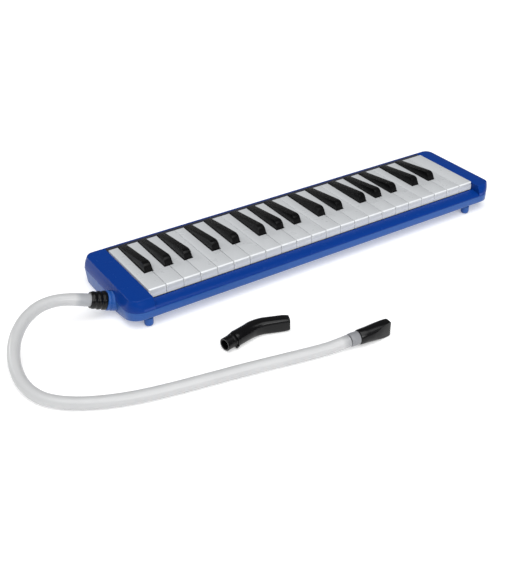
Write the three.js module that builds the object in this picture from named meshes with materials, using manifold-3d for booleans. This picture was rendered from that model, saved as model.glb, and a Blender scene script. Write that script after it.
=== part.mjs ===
// A 37-key melodica with its blowing hose and a short mouthpiece beside it.
// Millimetres, +Z up, standing on z = 0. +X runs along the keyboard to the treble end and +Y to the back.
// Drawing coordinates: X from the left edge of the first white key, Y back from the white key fronts,
// Z up from the floor. ORIGIN moves them to the frame at the bottom centre.
import * as THREE from 'three';
import { mergeVertices } from 'three/addons/utils/BufferGeometryUtils.js';
import Module from 'manifold-3d';

const wasm = await Module();
wasm.setup();

// ---- driving dimensions -----------------------------------------------------------------------
const ORIGIN = new THREE.Vector3(203.4, 6.5, 0); // bottom centre, in drawing coordinates
const GAP = 0.3; // between pieces that touch
const WALL = 2.2; // case wall
const PITCH = 19; // one white key
const WHITES = 22;
const KEYBOARD = PITCH * WHITES;
const WHITE_TOP = 32;
const WHITE_LENGTH = 87.7;
const WHITE_THICK = 4;
const LIP = 9.3; // height of a white key's front face
const KEY_GAP = 0.5; // between white keys
const BLACK_WIDTH = 9;
const BLACK_FRONT = 29.5;
const BLACK_RISE = 8.2; // above the white keys, at the front
const BLACK_REAR_RISE = 1; // above the white keys, at the rear
const BLACK_GAP = 0.7; // beside a black key
const CHEEK_TOP = 30.5;
const PARTING = 19; // height of the joint between the cover and the lower case
const LEFT_END = -26.5;
const RIGHT_END = 438.5;
const CROWN = { left: -22.9, right: 437.8 }; // ends of the cover's flat top
const FRONT = -14.3;
const REAR = 103.2;
const CORNER = 16; // plan radius of the case's corners
const WELL_SIDE = 0.6; // between the outer keys and the cheeks
const PIVOT = { y: 70, z: 25.5, shaft: 1.5, bore: 1.85 };
const TAIL = { width: 6.4, end: 94.3, top: 25.9, bottom: 22.7, pad: 84, padBottom: 20.3 };
const BLOCK = { front: 54, rear: 97, top: 20, bottom: 12 };
const PORT = {
  end: new THREE.Vector3(-32.7, 28, 16.9), // centre of the collar's outer face
  out: new THREE.Vector3(-0.945, 0.14, 0.295).normalize(), // the way the hose leaves
  radius: 9.75,
  socket: 7,
  bore: 4.5,
};
const FOOT = { y: -8.5, radius: 4.6, dowel: 2, xs: [-6.2, 403.5] };
const SCREW = { y: 62, xs: [-11.5, 429.5] };
const DRAIN = { y: 75, z: 15, radius: 4 };
const HOSE_RADIUS = 5.8;
const MOUTH = { root: [139.5, -142.1], turn: -4, roll: 90, height: 8.1 };
const SHORT = { start: [31.9, -83.8], kink: [71.5, -75.8], tip: [101, -86.9], tall: 14.4 };

// Hose route, in the frame of the assembly.
const HOSE_ROUTE = [
  [-243.8, 22.6, 19.3], [-252.2, 23.9, 21.9], [-260.8, 25.4, 24.6], [-270, 27.4, 27], [-280, 29, 28.7],
  [-290, 28.9, 29.5], [-300, 26.9, 29.4], [-309.5, 22.7, 28.4], [-318.3, 17, 26.7], [-326.2, 9.8, 24.3],
  [-332.9, 1.5, 21.4], [-338.3, -8, 18.3], [-342.3, -18.3, 15.3], [-344.8, -29.3, 12.4], [-345.7, -40.6, 9.9],
  [-344.6, -51.8, 8], [-341.4, -62.6, 6.7], [-336, -72.3, 6], [-328.6, -80.9, 5.9], [-319.8, -88.3, 5.9],
  [-310, -94.7, 5.9], [-299.5, -100.1, 5.9], [-288.5, -104.8, 5.9], [-273, -110.2, 5.9], [-243, -117.4, 5.9],
  [-211, -123.2, 5.9], [-180, -128.6, 5.9], [-148, -134.8, 5.9], [-117, -141, 5.9], [-94, -145.3, 6.3],
  [-81, -147.3, 7.7], [-74.1, -147.9, 8.1],
];

// ---- materials --------------------------------------------------------------------------------
const finish = (color, roughness, metalness = 0) =>
  new THREE.MeshStandardMaterial({ color, roughness, metalness });
const MATERIALS = {
  coverBlue: finish(0x143c91, 0.28),
  caseBlue: finish(0x3565b4, 0.32),
  white: finish(0xd4d7da, 0.3),
  black: finish(0x0b0b0d, 0.18),
  softBlack: finish(0x141519, 0.42),
  hose: finish(0xe8e9ea, 0.4),
  greyInsert: finish(0xa9adb6, 0.45),
  felt: finish(0x111326, 0.95),
  steel: finish(0xb9bcc0, 0.35, 1),
  brass: finish(0xc9a24b, 0.35, 1),
  greyPlastic: finish(0x8c9096, 0.5),
  rubber: finish(0x2a2a2c, 0.8),
};

// ---- solids -----------------------------------------------------------------------------------
function solid(geometry) {
  const plain = geometry.clone();
  plain.deleteAttribute('normal');
  plain.deleteAttribute('uv');
  const merged = mergeVertices(plain, 1e-4);
  return new wasm.Manifold(new wasm.Mesh({
    numProp: 3,
    vertProperties: merged.attributes.position.array,
    triVerts: new Uint32Array(merged.index.array),
  }));
}

function geometryOf(manifold) {
  const mesh = manifold.getMesh();
  const geometry = new THREE.BufferGeometry();
  geometry.setAttribute('position', new THREE.BufferAttribute(mesh.vertProperties, 3));
  geometry.setIndex(new THREE.BufferAttribute(mesh.triVerts, 1));
  geometry.computeVertexNormals();
  return geometry;
}

const shapeOf = (points) => new THREE.Shape(points.map(([a, b]) => new THREE.Vector2(a, b)));

// A box between two corners.
function box([x0, y0, z0], [x1, y1, z1]) {
  const geometry = new THREE.BoxGeometry(x1 - x0, y1 - y0, z1 - z0);
  return solid(geometry.translate((x0 + x1) / 2, (y0 + y1) / 2, (z0 + z1) / 2));
}

// A side outline of [y, z] points, drawn out along X.
function alongX(outline, x0, x1) {
  const shape = outline instanceof THREE.Shape ? outline : shapeOf(outline);
  const options = { depth: x1 - x0, bevelEnabled: false, curveSegments: 5 };
  const geometry = new THREE.ExtrudeGeometry(shape, options);
  const turn = new THREE.Matrix4().makeBasis(
    new THREE.Vector3(0, 1, 0), new THREE.Vector3(0, 0, 1), new THREE.Vector3(1, 0, 0));
  return solid(geometry.applyMatrix4(turn).translate(x0, 0, 0));
}

// A plan outline of [x, y] points, drawn up along Z.
function alongZ(outline, z0, z1) {
  const shape = outline instanceof THREE.Shape ? outline : shapeOf(outline);
  const options = { depth: z1 - z0, bevelEnabled: false, curveSegments: 5 };
  const geometry = new THREE.ExtrudeGeometry(shape, options);
  return solid(geometry.translate(0, 0, z0));
}

// A round bar from one point to another.
function rod(from, to, radius, sides = 12) {
  const start = new THREE.Vector3(...from);
  const way = new THREE.Vector3(...to).sub(start);
  const geometry = new THREE.CylinderGeometry(radius, radius, way.length(), sides);
  geometry.translate(0, way.length() / 2, 0);
  const turn = new THREE.Quaternion().setFromUnitVectors(new THREE.Vector3(0, 1, 0), way.normalize());
  return solid(geometry.applyQuaternion(turn).translate(start.x, start.y, start.z));
}

const joined = (first, ...others) => others.reduce((a, b) => a.add(b), first);
const cut = (first, ...others) => others.reduce((a, b) => a.subtract(b), first);

function roundedRectangle(x0, y0, x1, y1, radius) {
  const shape = new THREE.Shape();
  shape.moveTo(x0 + radius, y0);
  shape.lineTo(x1 - radius, y0);
  shape.absarc(x1 - radius, y0 + radius, radius, -Math.PI / 2, 0);
  shape.lineTo(x1, y1 - radius);
  shape.absarc(x1 - radius, y1 - radius, radius, 0, Math.PI / 2);
  shape.lineTo(x0 + radius, y1);
  shape.absarc(x0 + radius, y1 - radius, radius, Math.PI / 2, Math.PI);
  shape.lineTo(x0, y0 + radius);
  shape.absarc(x0 + radius, y0 + radius, radius, Math.PI, 1.5 * Math.PI);
  return shape;
}

// ---- the assembly -----------------------------------------------------------------------------
const melodica = new THREE.Group();
const drawing = new THREE.Group(); // everything in drawing coordinates
drawing.position.copy(ORIGIN).negate();
melodica.add(drawing);

function place(name, shape, material, parent = drawing) {
  const mesh = new THREE.Mesh(shape.isBufferGeometry ? shape : geometryOf(shape), material.clone());
  mesh.name = name;
  parent.add(mesh);
  return mesh;
}

// ---- keyboard layout --------------------------------------------------------------------------
// The first white key is F, so the black keys come in groups of three and two.
const BLACK_OFFSETS = [-3.4, -0.2, 3, null, -2.9, 2.3, null];
const NOTES = ['f', 'g', 'a', 'b', 'c', 'd', 'e'];
const blackAt = (whiteIndex) => {
  const offset = BLACK_OFFSETS[whiteIndex % 7];
  const inside = whiteIndex >= 0 && whiteIndex < WHITES - 1;
  return inside && offset !== null ? (whiteIndex + 1) * PITCH + offset : null;
};

// Left and right edges of a white key behind its neighbouring black keys.
function rearEdges(index) {
  const side = BLACK_WIDTH / 2 + BLACK_GAP;
  const before = blackAt(index - 1);
  const after = blackAt(index);
  return [
    before === null ? index * PITCH + KEY_GAP / 2 : before + side,
    after === null ? (index + 1) * PITCH - KEY_GAP / 2 : after - side,
  ];
}

// The lever behind and under a key: shaft lug, tail and pad.
function lever(centre) {
  const half = TAIL.width / 2;
  const under = WHITE_TOP - WHITE_THICK + 0.1;
  const outline = shapeOf([
    [65.5, under], [66.4, 24], [68, TAIL.bottom], [TAIL.pad, TAIL.bottom], [TAIL.pad, TAIL.padBottom],
    [TAIL.end, TAIL.padBottom], [TAIL.end, TAIL.top], [78, TAIL.top], [75, under],
  ]);
  const hole = new THREE.Path();
  hole.absarc(PIVOT.y, PIVOT.z, PIVOT.bore, 0, 2 * Math.PI, true);
  outline.holes.push(hole);
  return alongX(outline, centre - half, centre + half);
}

function whiteKey(index) {
  const left = index * PITCH + KEY_GAP / 2;
  const right = (index + 1) * PITCH - KEY_GAP / 2;
  const [rearLeft, rearRight] = rearEdges(index);
  const step = BLACK_FRONT - BLACK_GAP;
  const plan = [[left, 0.8], [left + 0.8, 0], [right - 0.8, 0], [right, 0.8]];
  if (rearRight < right) plan.push([right, step], [rearRight, step]);
  plan.push([rearRight, WHITE_LENGTH], [rearLeft, WHITE_LENGTH]);
  if (rearLeft > left) plan.push([rearLeft, step], [left, step]);
  const bottom = WHITE_TOP - WHITE_THICK;
  const plate = alongZ(plan, bottom, WHITE_TOP);
  const skirt = box([left, 0, WHITE_TOP - LIP], [right, 2.2, bottom + 0.5]);
  const nose = alongX([[-1, WHITE_TOP - 1.1], [0, WHITE_TOP - 1.1], [1.1, WHITE_TOP], [1.1, WHITE_TOP + 1],
    [-1, WHITE_TOP + 1]], left - 1, right + 1);
  const body = joined(plate, skirt, lever((rearLeft + rearRight) / 2));
  return cut(body, nose);
}

function blackKey(centre) {
  const half = BLACK_WIDTH / 2;
  const top = WHITE_TOP + BLACK_RISE;
  const bottom = WHITE_TOP - WHITE_THICK;
  const outline = [
    [BLACK_FRONT, bottom], [WHITE_LENGTH, bottom], [WHITE_LENGTH, WHITE_TOP + BLACK_REAR_RISE],
    [38.5, top - 0.2], [35.5, top], [33.2, top - 0.7], [31.6, top - 2.2], [BLACK_FRONT, WHITE_TOP + 0.4],
  ];
  const block = alongX(outline, centre - half, centre + half);
  const lean = [-1, 1].map((side) => {
    const edge = (offset) => centre + side * offset;
    const geometry = new THREE.ExtrudeGeometry(shapeOf([
      [edge(half), WHITE_TOP], [edge(half + 2), WHITE_TOP], [edge(half + 2), top + 1],
      [edge(half - 0.8), top + 1],
    ]), { depth: 70, bevelEnabled: false });
    return solid(geometry.rotateX(Math.PI / 2).translate(0, 95, 0));
  });
  return joined(cut(block, ...lean), lever(centre));
}

const keyCentres = [];
for (let index = 0; index < WHITES; index += 1) {
  const note = NOTES[index % 7];
  const octave = 1 + Math.floor((index + 3) / 7);
  const [rearLeft, rearRight] = rearEdges(index);
  const after = blackAt(index);
  keyCentres.push((rearLeft + rearRight) / 2);
  place(`key_${note}${octave}`, whiteKey(index), MATERIALS.white);
  if (after !== null) {
    keyCentres.push(after);
    place(`key_${note}_sharp${octave}`, blackKey(after), MATERIALS.black);
  }
}

// ---- case -------------------------------------------------------------------------------------
const planOutline = roundedRectangle(LEFT_END, FRONT - 0.2, RIGHT_END, REAR + 0.2, CORNER);
const planInside = roundedRectangle(
  LEFT_END + WALL, FRONT + WALL, RIGHT_END - WALL, REAR - WALL, CORNER - WALL);

// The room between the two ends, which lean in above the joint.
function betweenEnds(inset) {
  const profile = [
    [LEFT_END + inset, -5], [RIGHT_END - inset, -5], [RIGHT_END - inset, PARTING],
    [CROWN.right - inset, CHEEK_TOP], [CROWN.left + inset, CHEEK_TOP], [LEFT_END + inset, PARTING],
  ];
  return alongX(profile, -REAR - 5, 5 - FRONT).rotate([0, 0, -90]);
}

// The pieces of the collar that pass through both halves of the case.
function portPassage() {
  const inner = PORT.end.clone().addScaledVector(PORT.out, -16);
  const outer = PORT.end.clone().addScaledVector(PORT.out, 4);
  return rod(inner.toArray(), outer.toArray(), PORT.radius + GAP, 24);
}

function topCover() {
  const wellLeft = -WELL_SIDE;
  const wellRight = KEYBOARD + WELL_SIDE;
  const outline = [
    [102, PARTING], [97, CHEEK_TOP - 0.4], [96.2, CHEEK_TOP], [-9.4, CHEEK_TOP], [-10.5, 29.8],
    [-13.8, 21], [FRONT, PARTING],
  ];
  const outer = alongX(outline, LEFT_END, RIGHT_END).intersect(alongZ(planOutline, 0, 50))
    .intersect(betweenEnds(0));
  const well = box([wellLeft, -0.8, 0], [wellRight, 94.4, 50]);
  const aboveRail = alongX([[-20, 50], [-0.7, 50], [-0.7, 22.8], [-4, 22.6], [-8, 21.9], [-11.4, 20.9],
    [-13.4, 19.9], [-14.5, 18.8], [-20, 18.8]], wellLeft, wellRight);
  const underRail = alongX([[-12.2, 18], [-12, 19], [-8, 20], [-3, 20.7], [-3, 18]], wellLeft, wellRight);
  const underRim = alongX([[92, 18], [92, 27.8], [95.2, 27.2], [98.6, 18]], wellLeft, wellRight);
  const roof = CHEEK_TOP - WALL;
  const hollow = [[-12, 18], [-9.2, roof], [93.8, roof], [98.5, 18]];
  const inside = alongZ(planInside, 0, 50).intersect(betweenEnds(WALL));
  const leftHollow = alongX(hollow, LEFT_END, wellLeft - WALL).intersect(inside);
  const rightHollow = alongX(hollow, wellRight + WALL, RIGHT_END).intersect(inside);
  const shell = cut(outer, well, aboveRail, underRail, underRim, leftHollow, rightHollow);
  const posts = SCREW.xs.map((x) => rod([x, SCREW.y, PARTING + 0.2], [x, SCREW.y, CHEEK_TOP - 1], 4));
  const pilots = SCREW.xs.map((x) => rod([x, SCREW.y, PARTING - 1], [x, SCREW.y, CHEEK_TOP - 3], 1.8));
  return cut(joined(shell, ...posts), ...pilots, portPassage());
}

// Side outline of the lower case: shallow in front, and deep behind where the wind chest lies.
const caseTop = PARTING - GAP;
const UNDERSIDE = [
  [102, caseTop], [102.8, 14], [REAR, 10.5], [102, 6.5], [98.5, 3.2], [91.5, 0.9], [82, 0], [33, 0],
  [12, 3.7], [-3, 8], [-10.5, 9.3], [-12.9, 10.4], [-13.7, 12.5], [FRONT, caseTop],
];

function bottomCase() {
  const outer = alongX(UNDERSIDE, LEFT_END, RIGHT_END).intersect(alongZ(planOutline, -5, 50));
  const inner = alongX([
    [98.6, 30], [98.6, 18], [100.2, 14], [100.8, 10.8], [100, 7.8], [97.4, 5.1], [91, 3.1], [82, WALL],
    [33.2, WALL], [12.5, 5.9], [-2.6, 10.2], [-10, 11.5], [-11.6, 13], [-12, 18], [-12, 30],
  ], LEFT_END, RIGHT_END).intersect(alongZ(planInside, -5, 50));
  const footHoles = FOOT.xs.map((x) => rod([x, FOOT.y, -1], [x, FOOT.y, 16], FOOT.dowel + GAP));
  const columns = SCREW.xs.map((x) => rod([x, SCREW.y, 1], [x, SCREW.y, caseTop - 0.2], 6, 16));
  const heads = SCREW.xs.map((x) => rod([x, SCREW.y, -1], [x, SCREW.y, 8], 4, 16));
  const shanks = SCREW.xs.map((x) => rod([x, SCREW.y, 7], [x, SCREW.y, 20], 1.9));
  const drainHole = rod([430, DRAIN.y, DRAIN.z], [450, DRAIN.y, DRAIN.z], DRAIN.radius + 0.4, 16);
  const shell = joined(cut(outer, inner), ...columns);
  return cut(shell, ...footHoles, ...heads, ...shanks, portPassage(), drainHole);
}

place('top_cover', topCover(), MATERIALS.coverBlue);
place('bottom_case', bottomCase(), MATERIALS.caseBlue);
place('rear_felt_strip', box([0, 88.4, 27.6], [KEYBOARD, 94.1, 30.7]), MATERIALS.felt);

// ---- feet, screws and drain -------------------------------------------------------------------
const lathe = (points, sides) =>
  new THREE.LatheGeometry(points.map(([r, z]) => new THREE.Vector2(r, z)), sides).rotateX(Math.PI / 2);

// A round-ended peg that meets the underside, with a dowel into the case.
function foot(x) {
  const peg = solid(lathe([[0, 0], [3, 0], [4.1, 0.7], [FOOT.radius, 2], [FOOT.radius, 12], [0, 12]], 20)
    .translate(x, FOOT.y, 0));
  const above = alongX(UNDERSIDE, x - 10, x + 10).translate([0, 0, -GAP]);
  const dowel = rod([x, FOOT.y, 4], [x, FOOT.y, 12.5], FOOT.dowel);
  return joined(cut(peg, above), dowel);
}
place('foot_left', foot(FOOT.xs[0]), MATERIALS.caseBlue);
place('foot_right', foot(FOOT.xs[1]), MATERIALS.caseBlue);

['case_screw_left', 'case_screw_right'].forEach((name, index) => {
  const screw = [[0, 5.2], [3.5, 5.2], [3.7, 6.2], [3.7, 7.7], [1.5, 7.7], [1.5, 25.5], [0, 26.5]];
  place(name, lathe(screw, 16), MATERIALS.steel).position.set(SCREW.xs[index], SCREW.y, 0);
});

// The water release: a sprung button in the right end, with a stem and a sealing disc.
const drainProfile = [
  [0, 0], [3.6, 0], [DRAIN.radius, 0.5], [DRAIN.radius, 6], [1.6, 6], [1.6, 19.5], [0, 19.5],
];
const drainButton = place('drain_button', lathe(drainProfile, 16), MATERIALS.coverBlue);
drainButton.rotation.y = -Math.PI / 2;
drainButton.position.set(RIGHT_END + 2.5, DRAIN.y, DRAIN.z);

class Coil extends THREE.Curve {
  constructor(radius, height, turns) {
    super();
    Object.assign(this, { radius, height, turns });
  }

  getPoint(t, target = new THREE.Vector3()) {
    const angle = 2 * Math.PI * this.turns * t;
    return target.set(this.height * t, this.radius * Math.cos(angle), this.radius * Math.sin(angle));
  }
}
const wire = new THREE.Shape().absarc(0, 0, 0.35, 0, 2 * Math.PI);
const drainSpring = new THREE.ExtrudeGeometry(wire, {
  steps: 72, curveSegments: 3, bevelEnabled: false, extrudePath: new Coil(2.5, 9, 6),
});
place('drain_spring', drainSpring, MATERIALS.steel).position.set(421.8, DRAIN.y, DRAIN.z);

// ---- key action -------------------------------------------------------------------------------
function keyFrame() {
  const plate = box([GAP, 4.5, 20.3], [KEYBOARD - GAP, 80, 22]);
  const leg = box([30, 6, 9.5], [390, 8, 20.8]);
  const posts = [];
  for (let index = 0; index < keyCentres.length - 1; index += 4) {
    const x = (keyCentres[index] + keyCentres[index + 1]) / 2;
    posts.push(box([x - 1, 66.5, 21.5], [x + 1, 73.5, 27.3]));
  }
  const ends = [[GAP, 2], [KEYBOARD - 2, KEYBOARD - GAP]]
    .map(([x0, x1]) => box([x0, 66.5, 21.5], [x1, 73.5, 27.3]));
  const shaftHole = rod([-5, PIVOT.y, PIVOT.z], [KEYBOARD + 5, PIVOT.y, PIVOT.z], PIVOT.bore);
  return cut(joined(plate, leg, ...posts, ...ends), shaftHole);
}

// One sprung finger for each key, lifting its front.
function springComb() {
  const strip = box([2, 40, 22.3], [KEYBOARD - 2, 46, 22.8]);
  const finger = [[45.5, 22.3], [45.5, 22.8], [60, 27], [60.2, 26.5]];
  return joined(strip, ...keyCentres.map((x) => alongX(finger, x - 1.2, x + 1.2)));
}

place('key_frame', keyFrame(), MATERIALS.greyPlastic);
place('key_pivot_shaft', rod([0.5, PIVOT.y, PIVOT.z], [KEYBOARD - 0.5, PIVOT.y, PIVOT.z], PIVOT.shaft),
  MATERIALS.steel);
place('key_spring_comb', springComb(), MATERIALS.steel);
place('front_felt_strip', box([2, 10, 22.3], [KEYBOARD - 2, 16, 24.3]), MATERIALS.felt);

// ---- wind chest and reeds ---------------------------------------------------------------------
const CHEST_LEFT = 1;
const CHEST_RIGHT = KEYBOARD - 1;

// A closed cell above each reed, with a hole in its roof that the key's pad covers.
function cellBlock() {
  const block = box([CHEST_LEFT, BLOCK.front, BLOCK.bottom], [CHEST_RIGHT, BLOCK.rear, BLOCK.top]);
  const cells = keyCentres.map((x) => box([x - 3.7, 57, BLOCK.bottom - 1], [x + 3.7, 94.5, BLOCK.top - 2]));
  const holes = keyCentres.map((x) => box([x - 2.2, 85.6, BLOCK.top - 3], [x + 2.2, 92.6, BLOCK.top + 1]));
  return cut(block, ...cells, ...holes);
}

// A brass plate with a tongue cut free on three sides for each key, longer for the lower notes.
function reedPlate() {
  const plan = shapeOf([
    [CHEST_LEFT, BLOCK.front], [CHEST_RIGHT, BLOCK.front],
    [CHEST_RIGHT, BLOCK.rear], [CHEST_LEFT, BLOCK.rear],
  ]);
  keyCentres.forEach((x, index) => {
    const length = 30 - index * 0.42;
    const tip = 92;
    const root = tip - length;
    plan.holes.push(new THREE.Path([
      [x - 1.6, root], [x - 1.6, tip], [x + 1.6, tip], [x + 1.6, root], [x + 1.2, root],
      [x + 1.2, tip - 0.5], [x - 1.2, tip - 0.5], [x - 1.2, root],
    ].map(([a, b]) => new THREE.Vector2(a, b))));
  });
  return alongZ(plan, BLOCK.bottom - 1.5, BLOCK.bottom - GAP);
}

function gasket() {
  const ring = box([CHEST_LEFT, BLOCK.front, 9.7], [CHEST_RIGHT, BLOCK.rear, 10.2]);
  return cut(ring, box([CHEST_LEFT + 3, BLOCK.front + 3, 9], [CHEST_RIGHT - 3, BLOCK.rear - 3, 11]));
}

function windChest() {
  const tray = alongX([[54, 9.4], [54, 3], [84, 3], [95, 6.7], [97, 9.4]], CHEST_LEFT, CHEST_RIGHT);
  const hollow = [[56, 10], [56, 4.8], [83.4, 4.8], [93.4, 8.1], [94.8, 10]];
  const inside = alongX(hollow, CHEST_LEFT + 2, CHEST_RIGHT - 2);
  const duct = box([CHEST_LEFT, 19.5, 5], [24, 53.4, 17.5]);
  const neck = box([CHEST_LEFT, 53, 5], [24, 54.5, 9.2]);
  const ductInside = box([CHEST_LEFT + 2, 21.5, 7], [22, 51.4, 15.5]);
  const passage = box([CHEST_LEFT + 2, 50, 5.6], [22, 57, 8.4]);
  const inlet = rod([CHEST_LEFT - 1, 26.4, 11.2], [CHEST_LEFT + 3, 26.4, 11.2], PORT.bore, 16);
  return cut(joined(tray, duct, neck), inside, ductInside, passage, inlet);
}

// The collar outside the left end, then a narrower tube that levels out towards the wind chest.
function portTube() {
  const at = (t) => PORT.end.clone().addScaledVector(PORT.out, t).toArray();
  const bend = at(-20);
  const inner = [CHEST_LEFT - GAP, 26.4, 11.2];
  const outerEnd = [inner[0] - 14, inner[1], inner[2]];
  const collar = rod(at(-12.3), at(0), PORT.radius, 24);
  const slant = rod(bend, at(-12), 6.3, 16);
  const level = rod(outerEnd, inner, 6.3, 16);
  const socket = rod(at(-11.5), at(1), PORT.socket, 24);
  const boreOut = rod(bend, at(1), PORT.bore, 16);
  const boreIn = rod(outerEnd, [inner[0] + 1, inner[1], inner[2]], PORT.bore, 16);
  return cut(joined(collar, slant, level), socket, boreOut, boreIn);
}

place('cell_block', cellBlock(), MATERIALS.greyPlastic);
place('reed_plate', reedPlate(), MATERIALS.brass);
place('chest_gasket', gasket(), MATERIALS.rubber);
place('wind_chest', windChest(), MATERIALS.greyPlastic);
place('port_tube', portTube(), MATERIALS.caseBlue);

// ---- hose, connector and mouthpieces ----------------------------------------------------------
// The connector: a spigot in the collar's socket and a ribbed grip that holds the hose.
function hoseConnector() {
  const profile = [
    [3.6, -11], [6.6, -11], [6.6, 0.4], [9.1, 0.4], [9.3, 1.2], [9.3, 3.6], [8.5, 4.2], [8.5, 5.6],
    [8.9, 6.2], [8.9, 8.6], [8.2, 9.2], [8.2, 10.8], [8.5, 11.4], [8.5, 13.6], [8, 14.2], [7.9, 15.8],
    [6.2, 15.8], [6.2, 7.4], [3.6, 7.4],
  ];
  const closed = [...profile, profile[0]].map(([r, z]) => new THREE.Vector2(r, z));
  return new THREE.LatheGeometry(closed, 24);
}
const connector = place('hose_connector', hoseConnector(), MATERIALS.softBlack);
connector.quaternion.setFromUnitVectors(new THREE.Vector3(0, 1, 0), PORT.out);
connector.position.copy(PORT.end);

function hose() {
  const points = HOSE_ROUTE.map((point) => new THREE.Vector3(...point));
  const path = new THREE.CatmullRomCurve3(points, false, 'centripetal');
  const section = new THREE.Shape().absarc(0, 0, HOSE_RADIUS, 0, 2 * Math.PI);
  const geometry = new THREE.ExtrudeGeometry(section, {
    steps: 48, curveSegments: 6, bevelEnabled: false, extrudePath: path,
  });
  return geometry;
}
place('hose', hose(), MATERIALS.hose, melodica);

// The hose's own mouthpiece: round where the hose joins it, flat and wide at the tip, lying on its edge.
const mouth = new THREE.Group();
mouth.position.set(MOUTH.root[0], MOUTH.root[1], MOUTH.height);
mouth.rotation.set(THREE.MathUtils.degToRad(MOUTH.roll), 0, THREE.MathUtils.degToRad(MOUTH.turn), 'ZYX');
drawing.add(mouth);

function hoseMouthpiece() {
  const plan = alongZ([[0, -6.6], [1.5, -7.2], [13, -7.4], [22, -7.9], [30, -8], [32.6, -7.2], [34, -5],
    [34.5, 0], [34, 5], [32.6, 7.2], [30, 8], [22, 7.9], [13, 7.4], [1.5, 7.2], [0, 6.6]], -10, 10);
  const sideShape = shapeOf([[0, -6.6], [1.5, -7.2], [15, -7.2], [33.6, -5.9], [34.5, -5], [34.5, 3.2],
    [33.6, 4], [26, 5.4], [19, 6.8], [13, 7.2], [1.5, 7.2], [0, 6.6]]);
  const side = new THREE.ExtrudeGeometry(sideShape, { depth: 20, bevelEnabled: false });
  const sideSolid = solid(side.rotateX(Math.PI / 2).translate(0, 10, 0));
  const round = rod([-1, 0, 0], [36, 0, 0], 9.2, 24);
  const bore = rod([-1, 0, 0], [27, 0, 0], 3.2);
  const seat = rod([-1, 0, 0], [3, 0, 0], 5.4, 16);
  const slot = box([22, -4.5, -3.6], [36, 4.5, 2]);
  return cut(plan.intersect(sideSolid).intersect(round), bore, seat, slot);
}
place('hose_mouthpiece', hoseMouthpiece(), MATERIALS.softBlack, mouth);
const insertProfile = [[2.8, -9.6], [6.3, -9.6], [6.5, -6], [6.4, -0.3], [5, -0.3], [5, 2.6], [2.8, 2.6]];
const insertLoop = [...insertProfile, insertProfile[0]].map(([r, z]) => new THREE.Vector2(r, z));
const insert = place('hose_insert', new THREE.LatheGeometry(insertLoop, 20), MATERIALS.greyInsert, mouth);
insert.rotation.z = -Math.PI / 2;

// The short mouthpiece, lying on its side: a round spigot, a shoulder, a bent body and a flat tip.
function shortMouthpiece() {
  const start = new THREE.Vector2(...SHORT.start);
  const kink = new THREE.Vector2(...SHORT.kink);
  const tip = new THREE.Vector2(...SHORT.tip);
  const first = kink.clone().sub(start).normalize();
  const second = tip.clone().sub(kink).normalize();
  const side = (way) => new THREE.Vector2(-way.y, way.x);
  const point = (from, way, along, across) =>
    from.clone().addScaledVector(way, along).addScaledVector(side(way), across).toArray();
  const middle = first.clone().add(second).normalize();
  const outline = [
    point(start, first, 11.5, -7), point(kink, first, -8, -7), point(kink, middle, 0, -6.8),
    point(kink, second, 10, -5.8), point(tip, second, -1, -4.6), point(tip, second, 0, -3.6),
    point(tip, second, 0, 3.6), point(tip, second, -1, 4.6), point(kink, second, 10, 6.2),
    point(kink, middle, 0, 7.2), point(kink, first, -8, 7.2), point(start, first, 11.5, 7),
  ];
  const body = alongZ(outline, 0, SHORT.tall);
  const centre = SHORT.tall / 2;
  const at3 = (pair, z = centre) => [pair[0], pair[1], z];
  const spigot = rod(at3(point(start, first, 0, 0)), at3(point(start, first, 14, 0)), 6.3, 20);
  const bore = rod(at3(point(start, first, -1, 0)), at3(kink.toArray()), 4.6, 16);
  const slot = alongZ([point(kink, second, -2, -2.2), point(tip, second, 1, -2.2), point(tip, second, 1, 2.2),
    point(kink, second, -2, 2.2)], centre - 4.6, centre + 4.6);
  return cut(joined(body, spigot), bore, slot);
}
place('short_mouthpiece', shortMouthpiece(), MATERIALS.softBlack);

export default melodica;
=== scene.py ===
"""A blue 37-key melodica with its blowing hose and a loose short mouthpiece, on a plain white floor."""

import math

import bmesh
import bpy
from mathutils import Matrix, Vector


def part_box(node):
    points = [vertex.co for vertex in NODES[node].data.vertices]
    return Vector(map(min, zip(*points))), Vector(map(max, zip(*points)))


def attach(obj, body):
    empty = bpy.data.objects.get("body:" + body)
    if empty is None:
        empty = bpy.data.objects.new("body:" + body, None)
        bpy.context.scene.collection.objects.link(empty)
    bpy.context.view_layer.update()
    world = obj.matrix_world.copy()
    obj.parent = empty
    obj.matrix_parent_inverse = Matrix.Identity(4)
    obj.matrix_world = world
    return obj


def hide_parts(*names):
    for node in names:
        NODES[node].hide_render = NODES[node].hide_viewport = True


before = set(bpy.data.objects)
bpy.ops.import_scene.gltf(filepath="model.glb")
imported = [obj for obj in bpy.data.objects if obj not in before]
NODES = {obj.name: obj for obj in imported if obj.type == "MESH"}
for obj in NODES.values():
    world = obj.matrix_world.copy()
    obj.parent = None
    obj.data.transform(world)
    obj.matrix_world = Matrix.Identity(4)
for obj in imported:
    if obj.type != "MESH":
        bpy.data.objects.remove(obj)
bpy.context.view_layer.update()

MM = 0.001

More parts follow.
